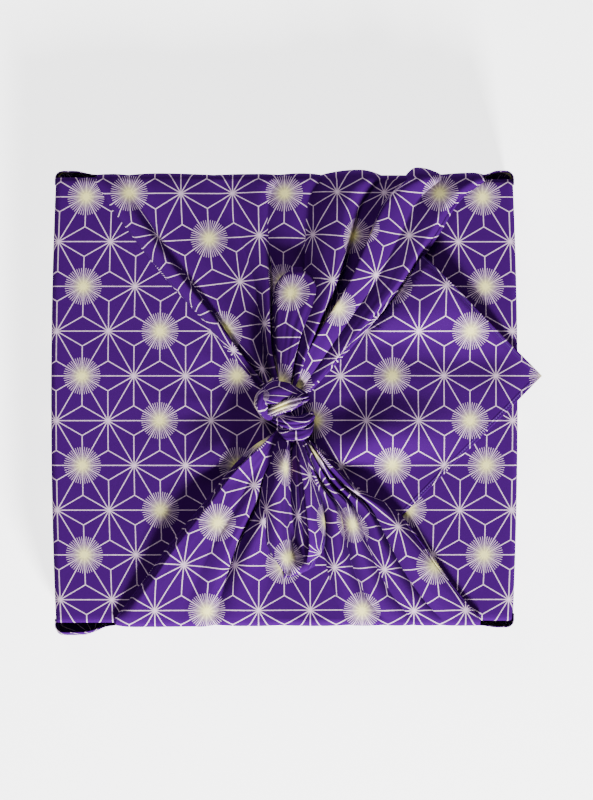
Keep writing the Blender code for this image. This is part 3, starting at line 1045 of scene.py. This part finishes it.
    def round_corner(self, start: Vector, way: int, pocket: float, fall: float) -> list[Vector]:
        """Cloth that runs on from a gather's edge to the box's corner and round it, a pocket's width clear.

        Args:
            start: The gather's last point at this height.
            way: 1 for the right corner and -1 for the left one.
            pocket: Width of the pocket at its rim.
            fall: Share of the way down the side.

        Returns:
            The points, from the gather to the far side of the corner.
        """
        hand = self.side.value[1]
        radius = self.corner_radius
        open_by = pocket * (0.80 + 0.40 * smooth(fall / 0.25)) * (1 - smooth((fall - 0.6) / 0.4))
        points = []
        straight = self.corner_columns - self.corner_steps - 2
        run = SIZES.half_width + self.corner_gap - radius - abs(start.x)
        for step in range(1, straight + 1):
            share = step / straight
            lift = open_by * smooth(share * 1.5)
            points.append(Vector((start.x + way * run * share, start.y + hand * lift, start.z)))
        last = points[-1]
        for step in range(1, self.corner_steps + 1):
            turn = math.pi / 2 * step / self.corner_steps
            x = last.x + way * radius * math.sin(turn)
            points.append(Vector((x, last.y - hand * radius * (1 - math.cos(turn)), start.z)))
        for _ in range(2):
            points.append(Vector((points[-1].x, points[-1].y - hand * 0.003, start.z)))
        return points

    def flat_lengths(self, rows: list, panels: list[int], top_rows: int) -> tuple[list, dict]:
        """Flat coordinates of every point of the gather.

        Near the edge the print runs on over the box, and nearer the knot each panel keeps its own flat
        pattern, turned to the way that the panel runs, so that the cloth between panels is lost in pleats.

        Args:
            rows: Rows of points, from the knot to the foot of the side.
            panels: Number of the panel of each column.
            top_rows: How many rows lie on top of the box.

        Returns:
            Flat coordinates by row and column, from the cloth's middle outwards, and those of the seams'
            points as the panel before them has them.
        """
        edge_row = top_rows - 1
        middles = {}
        for number in sorted(set(panels)):
            members = [index for index, own in enumerate(panels) if own == number]
            middles[number] = members[len(members) // 2]
        edge_flat = SIZES.half_depth + SIZES.top - self.side.value[1] * SIZES.cloth_shift
        flats = []
        seams = {}
        downs = [0.0] * len(panels)
        for row, line in enumerate(rows):
            if row > edge_row:
                downs = [down + (rows[row - 1][n] - line[n]).length for n, down in enumerate(downs)]
                flats.append([(point.x, edge_flat - down) for point, down in zip(line, downs)])
                continue
            arcs = arc_lengths(line)
            flat_line = []
            for index, own in enumerate(panels):
                flat_line.append(self.flat_point(rows, arcs, edge_row, row, index, middles[own], edge_flat))
                if index and panels[index - 1] != own:
                    crest = middles[panels[index - 1]]
                    seams[row, index] = self.flat_point(rows, arcs, edge_row, row, index, crest, edge_flat)
            flats.append(flat_line)
        return flats, seams

    def flat_point(
        self, rows: list, arcs: list, edge_row: int, row: int, index: int, crest: int, edge_flat: float
    ) -> Flat:
        """Where one point lies on the flat cloth, as part of the panel of a crest.

        Args:
            rows: Rows of points, from the knot to the foot of the side.
            arcs: Lengths along the point's row.
            edge_row: The row at the box's edge.
            row: The point's row.
            index: The point's column.
            crest: Column of the panel's middle.
            edge_flat: How far from the cloth's middle the box's edge lies on the flat cloth.

        Returns:
            The flat coordinates.
        """
        hand = self.side.value[1]
        point = rows[row][index]
        middle = rows[row][crest]
        anchor = rows[edge_row][crest]
        inner = rows[2][crest]
        turn = math.atan2(inner.x - anchor.x, -hand * (inner.y - anchor.y))
        away = Vector((middle.x - anchor.x, -hand * (middle.y - anchor.y)))
        aside = Vector((point.x - middle.x, -hand * (point.y - middle.y)))
        stretch = abs(arcs[index] - arcs[crest]) / max(aside.length, 1e-6)
        gone = (away + aside).dot(Vector((math.sin(turn), math.cos(turn))))
        square = Vector((math.cos(turn), -math.sin(turn)))
        across = away.dot(square) + aside.dot(square) * stretch
        along_flat = self.straightened(turn, gone, across)
        return anchor.x + along_flat.x, edge_flat + along_flat.y

    def straightened(self, turn: float, gone: float, across: float) -> Vector:
        """Where a point of a panel lies on the flat cloth, from the panel's foot at the box's edge.

        The panel leaves the edge as it lies there and turns to the cloth's own length towards the knot.

        Args:
            turn: The way that the panel runs, in radians from the cloth's length.
            gone: How far from the edge the point lies, along the panel.
            across: How far beside the panel's middle it lies.

        Returns:
            The place on the flat cloth.
        """
        held = math.copysign(max(abs(turn), 0.001), turn)
        part = min(max(gone / self.straight_over, 0.0), 0.9)
        left = held * (1 - part)
        radius = self.straight_over / held
        aside = radius * (math.cos(left) - math.cos(held))
        onward = radius * (math.sin(held) - math.sin(left))
        rest = gone - part * self.straight_over
        straight = Vector((math.sin(left), math.cos(left))) * rest
        return Vector((aside, onward)) + straight + Vector((math.cos(left), -math.sin(left))) * across

    def add_tucks(self, piece: ClothPiece, rows: list, top_rows: int, flats: list, hand: int) -> None:
        """Adds the cloth that turns under at both fold edges.

        Args:
            piece: The piece to add to.
            rows: Rows of points, from the knot to the foot of the side.
            top_rows: How many rows lie on top of the box.
            flats: Flat coordinates by row and column.
            hand: 1 for the upper gather and -1 for the lower one.
        """
        floor = SIZES.flap_level + 0.0012
        for end, away in ((0, -1), (-1, 1)):
            places = []
            lengths = []
            for row in range(2, top_rows):
                point = rows[row][end]
                inward = (rows[row][-1 - end] - point).normalized()
                fade = smooth((top_rows - 1 - row) / 6)
                radius = max((point.z - floor) / 2, 0.0003)
                depth = min(self.tuck, 0.35 * (rows[row][-1] - rows[row][0]).length) * fade + 0.001
                line = [point]
                for turn in even_steps(0.0, math.pi, 6)[1:]:
                    out = radius * math.sin(turn) * 0.9
                    down = radius * (1 - math.cos(turn))
                    line.append(Vector((point.x, point.y, point.z - down)) - inward * out)
                low = line[-1]
                line += [low + inward * step for step in even_steps(0.0, depth, 5)[1:]]
                places.append(line)
                before = Vector(flats[row - 1][end])
                after = Vector(flats[min(row + 1, top_rows - 1)][end])
                along = (after - before).normalized()
                out = Vector((along.y, -along.x))
                out *= math.copysign(1.0, out.x * away)
                here = Vector(flats[row][end])
                lengths.append([tuple(here + out * arc) for arc in arc_lengths(line)])
            piece.add_grid(places, looked_up(lengths, hand), flip=(hand < 0) == (end == 0))


@dataclass
class KnotBand:
    """A band of bunched cloth round the knot.

    Its half widths and half thicknesses are given at its start, its middle and its end. Its lean says how
    far its broad face turns up or down the picture, from 0 for not at all to 1 for fully.
    """

    name: str
    route: tuple
    half_wide: tuple
    half_thick: tuple
    creases: int
    depth: float
    twist: float
    lean: float
    flat_middle: Flat
    print_turned: bool = False


@dataclass
class Knot(Layer):
    """The square knot: a few bands of bunched cloth wound over each other."""

    cotton: bpy.types.Material
    middle: tuple = (-0.001, -0.008, 0.068)
    sides: int = 72
    steps: int = 54
    end_steps: int = 3
    look: float = 0.02
    rough: float = 0.0014
    print_length: float = 1.4
    print_round: float = 4.4

    def bands(self) -> list[KnotBand]:
        """The knot's bands, from the lowest to the highest."""
        core = ((-0.006, 0.012, 0.070), (0.003, -0.006, 0.074), (0.011, -0.024, 0.070))
        left_lobe = (
            (-0.0040, -0.0150, 0.0640), (-0.0150, -0.0110, 0.0730), (-0.0205, -0.0030, 0.0780),
            (-0.0160, 0.0060, 0.0790), (-0.0060, 0.0100, 0.0740),
        )
        cap = (
            (-0.0170, 0.0050, 0.0740), (-0.0130, 0.0066, 0.0850), (-0.0050, 0.0068, 0.0890),
            (0.0060, 0.0052, 0.0870), (0.0180, 0.0036, 0.0760),
        )
        sweep = (
            (-0.0130, -0.0115, 0.0740), (-0.0070, -0.0080, 0.0860), (0.0020, -0.0036, 0.0905),
            (0.0110, -0.0004, 0.0885), (0.0190, 0.0020, 0.0770),
        )
        lower_sweep = (
            (-0.0090, -0.0150, 0.0720), (-0.0020, -0.0180, 0.0830), (0.0060, -0.0200, 0.0870),
            (0.0150, -0.0195, 0.0850), (0.0235, -0.0150, 0.0730),
        )
        lower_lobe = (
            (-0.0030, -0.0220, 0.0640), (0.0030, -0.0290, 0.0740), (0.0110, -0.0315, 0.0780),
            (0.0180, -0.0290, 0.0760), (0.0220, -0.0215, 0.0660),
        )
        return [
            KnotBand("core", core, (0.012, 0.015, 0.012), (0.010, 0.012, 0.010),
                     3, 0.0008, 0.5, 1.0, (0.030, 0.512)),
            KnotBand("left lobe", left_lobe, (0.006, 0.0075, 0.006), (0.005, 0.0060, 0.005),
                     5, 0.0016, 0.6, 1.0, (-0.011, 0.492)),
            KnotBand("lower lobe", lower_lobe, (0.0060, 0.0070, 0.0060), (0.005, 0.0065, 0.005),
                     4, 0.0006, -0.6, 1.0, (0.0235, 0.4950), True),
            KnotBand("lower sweep", lower_sweep, (0.0035, 0.0062, 0.0042), (0.004, 0.0050, 0.004),
                     7, 0.0024, 0.3, 1.0, (0.030, 0.500)),
            KnotBand("cap", cap, (0.0060, 0.0112, 0.0035), (0.0045, 0.0060, 0.003),
                     4, 0.0009, -0.3, 0.25, (0.0235, 0.4950), True),
            KnotBand("sweep", sweep, (0.0035, 0.0066, 0.0035), (0.0035, 0.0048, 0.0035),
                     9, 0.0026, 0.4, 0.6, (0.001, 0.4930)),
        ]

    def ring(self, band: KnotBand, number: int, step: int) -> list[Vector]:
        """One section of a band, closed round.

        Args:
            band: The band.
            number: The band's number, which varies its creases.
            step: Step along it, also a few before its start and past its end, which round it off.

        Returns:
            The section's points.
        """
        share = min(max(step / self.steps, 0.0), 1.0)
        place = spline_point(band.route, share)
        ahead = spline_point(band.route, min(share + self.look, 1.0))
        behind = spline_point(band.route, max(share - self.look, 0.0))
        way = (ahead - behind).normalized()
        out = place - Vector(self.middle)
        out.y *= band.lean
        out = (out - way * out.dot(way)).normalized()
        side = way.cross(out)
        past = max(-step, step - self.steps, 0) / self.end_steps
        close = math.sqrt(max(1 - past * past, 0.0004))
        half_wide = through_three(*band.half_wide, share)
        half_thick = through_three(*band.half_thick, share)
        place = place + way * math.copysign(past, step - self.steps / 2) * half_thick
        line = []
        for index in range(self.sides):
            turn = 2 * math.pi * index / self.sides
            wander = 0.5 * wave(share * 3, turn, number * 7.3)
            fold = abs(math.sin(band.creases * turn / 2 + band.twist * math.pi * share + number + wander))
            crease = band.depth * (fold**0.55 - 0.70) * (0.35 + 0.65 * max(math.sin(turn), 0.0))
            rough = self.rough * wave(turn * 1.2, share * 4, number * 3.1)
            wide = (half_wide + crease + rough) * math.cos(turn) * close
            thick = (half_thick + crease + rough) * math.sin(turn) * close
            line.append(place + side * wide + out * thick)
        return line

    def build(self) -> bpy.types.Object:
        """Models the knot.

        Returns:
            The finished object.
        """
        piece = ClothPiece("knot")
        steps = range(-self.end_steps, self.steps + self.end_steps + 1)
        for number, band in enumerate(self.bands()):
            places = [self.ring(band, number, step) for step in steps]
            length = (Vector(band.route[0]) - Vector(band.route[-1])).length * self.print_length
            around = self.print_round * math.pi * (band.half_wide[1] + band.half_thick[1]) / 2
            across, down = band.flat_middle

            def flat_at(row: int, column: int, cell: int) -> Flat:
                """Flat coordinates along and round the band."""
                first = around * (column / self.sides - 0.25)
                second = length * (row / len(places) - 0.5)
                if band.print_turned:
                    return across + second, down + first
                return across + first, down + second

            piece.add_grid(places, flat_at, flip=True, closed=True)
        return piece.finish(self.cotton, 0.0)


@dataclass
class Tail(Layer):
    """A free end of the cloth past the knot: a folded leaf between two edges."""

    name: str
    cotton: bpy.types.Material
    left_edge: tuple
    right_edge: tuple
    levels: tuple
    lines: tuple
    lip: float
    shut: float
    hand: int
    seed: float
    flat_start: Flat
    rows: int = 70
    parts: int = 10
    crease: float = 0.0011
    ripple: float = 0.0007
    shoulder: float = 0.22
    lip_turn: float = 0.8
    lip_steps: int = 6

    def build(self) -> bpy.types.Object:
        """Models the tail.

        Returns:
            The finished object.
        """
        places = []
        for row in range(self.rows + 1):
            along = row / self.rows
            left = spline_point(self.left_edge, along)
            right = spline_point(self.right_edge, along)
            level = spline_point([(height, 0.0) for height in self.levels], along).x
            way = (right - left).normalized()
            line = []
            ending = smooth((along - 0.80) / 0.20)
            for share, rise, lean, _ in folded_section(self.lines, self.parts, along, 1.0, -1.0):
                spot = left.lerp(right, share) + way * lean
                full = self.shut * smooth(share / self.shoulder) * smooth((1 - share) / self.shoulder)
                rise += (full - rise) * ending * min(self.shut * 100, 1.0)
                crease = self.crease * wave(share * 9, along * 2.2, self.seed) * (1.2 - along)
                crease += self.ripple * wave(share * 4, along * 5, self.seed + 5)
                line.append(Vector((spot.x, spot.y, level + rise + crease)))
            places.append(line)
        free = places[-1]
        for turn in even_steps(0.0, math.pi * self.lip_turn, self.lip_steps)[1:]:
            past = Vector((0.0, self.hand * self.lip * math.sin(turn), -self.lip * (1 - math.cos(turn))))
            places.append([point + past for point in free])
        middle = len(free) // 2
        flats = []
        travelled = 0.0
        for row, line in enumerate(places):
            if row:
                travelled += (line[middle] - places[row - 1][middle]).length
            arcs = arc_lengths(line)
            down = self.flat_start[1] + travelled
            flats.append([(self.flat_start[0] + arc - arcs[middle], down) for arc in arcs])
        piece = ClothPiece(self.name)
        piece.add_grid(places, looked_up(flats, self.hand), flip=self.hand < 0)
        return piece.finish(self.cotton, SIZES.cloth, 0.5)


@dataclass
class Studio:
    """A pale floor, soft lights and a camera that looks straight down."""

    floor_size: float = 40.0
    frame_width: float = 0.540
    lens: float = 100.0
    sensor: float = 36.0
    photo_width: int = 593
    photo_height: int = 800
    floor_gap: float = 0.0004
    room_light: float = 0.03

    def floor(self) -> None:
        """Lays the floor."""
        bpy.ops.object.select_all(action="DESELECT")
        bpy.ops.mesh.primitive_plane_add(size=self.floor_size, location=(0, 0, -self.floor_gap))
        ground = bpy.context.active_object
        ground.name = "floor"
        ground.data.materials.append(PaleFloor().material())

    def light(self, name: str, place: Vector, size: float, power: float) -> None:
        """Hangs one soft square light that looks at the wrap's middle."""
        data = bpy.data.lights.new(name, "AREA")
        data.shape = "SQUARE"
        data.size = size
        data.energy = power
        lamp = bpy.data.objects.new(name, data)
        lamp.location = place
        lamp.rotation_euler = (-place).to_track_quat("-Z", "Y").to_euler()
        bpy.context.scene.collection.objects.link(lamp)

    def world(self) -> None:
        """Lights the room evenly."""
        room = bpy.data.worlds.new("studio")
        room.use_nodes = True
        back = room.node_tree.nodes["Background"]
        back.inputs["Color"].default_value = (1.0, 1.0, 1.0, 1.0)
        back.inputs["Strength"].default_value = self.room_light
        bpy.context.scene.world = room

    def camera(self) -> None:
        """Hangs the camera straight above the wrap."""
        seen_height = self.frame_width * self.photo_height / self.photo_width
        distance = seen_height * self.lens / self.sensor
        data = bpy.data.cameras.new("camera")
        data.lens = self.lens
        data.sensor_width = self.sensor
        data.clip_end = 50.0
        eye = bpy.data.objects.new("camera", data)
        middle_x = (CAD_BOX[0][0] + CAD_BOX[1][0]) / 2
        eye.location = (middle_x, 0.0, SIZES.top + distance)
        bpy.context.scene.collection.objects.link(eye)
        bpy.context.scene.camera = eye

    def build(self) -> None:
        """Sets up the whole studio."""
        self.floor()
        self.world()
        self.light("key", Vector((0.85, -2.75, 1.15)), 0.60, 500.0)
        self.light("fill", Vector((-0.60, 1.60, 1.70)), 0.90, 26.0)
        self.light("overhead", Vector((-0.20, 0.10, 2.4)), 0.8, 6.0)
        self.camera()


@dataclass
class FuroshikiWrap:
    """The whole tied wrap."""

    cotton: bpy.types.Material

    def flaps(self) -> None:
        """The two flat flaps, the right one beneath."""
        right = FlatFlap("right_flap", Side.RIGHT, self.cotton, SIZES.top, 0.2005)
        right.dress((0.43, 0.43), Hold.FOLDED, ["base_and_sides"], 0.165)
        left = FlatFlap("left_flap", Side.LEFT, self.cotton, SIZES.flap_level, 0.2020)
        left.dress((0.43, 0.50), Hold.FOLDED, ["right_flap"], 0.175)

    def gathers(self) -> None:
        """The two gathered corners."""
        upper = Gather(
            name="upper_gather",
            side=Side.UPPER,
            cotton=self.cotton,
            left_fold=(
                (-0.0240, 0.0150), (-0.0540, 0.0500), (-0.0790, 0.0800), (-0.1040, 0.1080),
                (-0.1360, 0.1480), (-0.1590, 0.1800), (-0.1706, 0.1993),
            ),
            right_fold=(
                (0.0200, 0.0080), (0.0470, 0.0370), (0.0760, 0.0700), (0.1080, 0.1080),
                (0.1350, 0.1480), (0.1560, 0.1800), (0.1810, 0.1993),
            ),
            lines=UPPER_LINES,
            left_pocket=0.0040,
            right_pocket=0.0040,
            seed=3.0,
        )
        lower = Gather(
            name="lower_gather",
            side=Side.LOWER,
            cotton=self.cotton,
            left_fold=(
                (-0.0060, -0.0290), (-0.0450, -0.0640), (-0.0680, -0.0910), (-0.1018, -0.1318),
                (-0.1230, -0.1610), (-0.1400, -0.1830), (-0.1534, -0.1993),
            ),
            right_fold=(
                (0.0220, -0.0370), (0.0620, -0.0770), (0.0970, -0.0990), (0.1210, -0.1270),
                (0.1390, -0.1520), (0.1580, -0.1770), (0.1780, -0.1993),
            ),
            lines=LOWER_LINES,
            left_pocket=0.0085,
            right_pocket=0.0020,
            seed=11.0,
        )
        for gather, area in ((upper, 0.092), (lower, 0.086)):
            gather.dress((0.42, 0.42), Hold.GATHERED, ["left_flap", "base_and_sides"], area)

    def tails(self) -> None:
        """The two free ends."""
        upper = Tail(
            name="upper_tail",
            cotton=self.cotton,
            left_edge=(
                (-0.0035, 0.0060), (-0.0065, 0.0340), (-0.0085, 0.0620), (-0.0090, 0.0860),
                (-0.0080, 0.1020), (-0.0020, 0.1120), (0.0050, 0.1165),
            ),
            right_edge=(
                (0.0050, 0.0060), (0.0090, 0.0340), (0.0175, 0.0620), (0.0285, 0.0840),
                (0.0320, 0.0990), (0.0265, 0.1100), (0.0170, 0.1165),
            ),
            levels=(0.0770, 0.0745, 0.0710, 0.0690, 0.0680, 0.0670, 0.0660),
            lines=UPPER_TAIL_LINES,
            lip=0.0030,
            shut=0.0,
            hand=1,
            seed=2.0,
            flat_start=(0.004, 0.560),
        )
        lower = Tail(
            name="lower_tail",
            cotton=self.cotton,
            left_edge=(
                (0.0000, -0.0240), (-0.0105, -0.0450), (-0.0180, -0.0680), (-0.0216, -0.0900),
                (-0.0205, -0.1100), (-0.0150, -0.1320), (-0.0005, -0.1562),
            ),
            right_edge=(
                (0.0170, -0.0240), (0.0245, -0.0560), (0.0320, -0.0830), (0.0360, -0.1040),
                (0.0370, -0.1200), (0.0355, -0.1340), (0.0280, -0.1450),
            ),
            levels=(0.0620, 0.0700, 0.0685, 0.0655, 0.0640, 0.0625, 0.0620),
            lines=LOWER_TAIL_LINES,
            lip=0.0060,
            shut=0.0135,
            hand=-1,
            seed=7.0,
            flat_start=(0.012, 0.530),
        )
        upper.dress((0.040, 0.125), Hold.LAID, ["upper_gather"])
        lower.dress((0.082, 0.145), Hold.LAID, ["lower_gather"])

    def build(self) -> None:
        """Builds every piece."""
        BaseAndSides(self.cotton).dress((0.52, 0.51), Hold.FOLDED, [], 0.252)
        self.flaps()
        self.gathers()
        Knot(self.cotton).dress((0.070, 0.130), Hold.GATHERED, ["upper_gather", "lower_gather"])
        self.tails()


def main() -> None:
    """Builds the wrap and the studio."""
    logging.basicConfig(level=logging.INFO)
    FuroshikiWrap(PrintedCotton().material()).build()
    Studio().build()


if __name__ == "__main__":
    main()
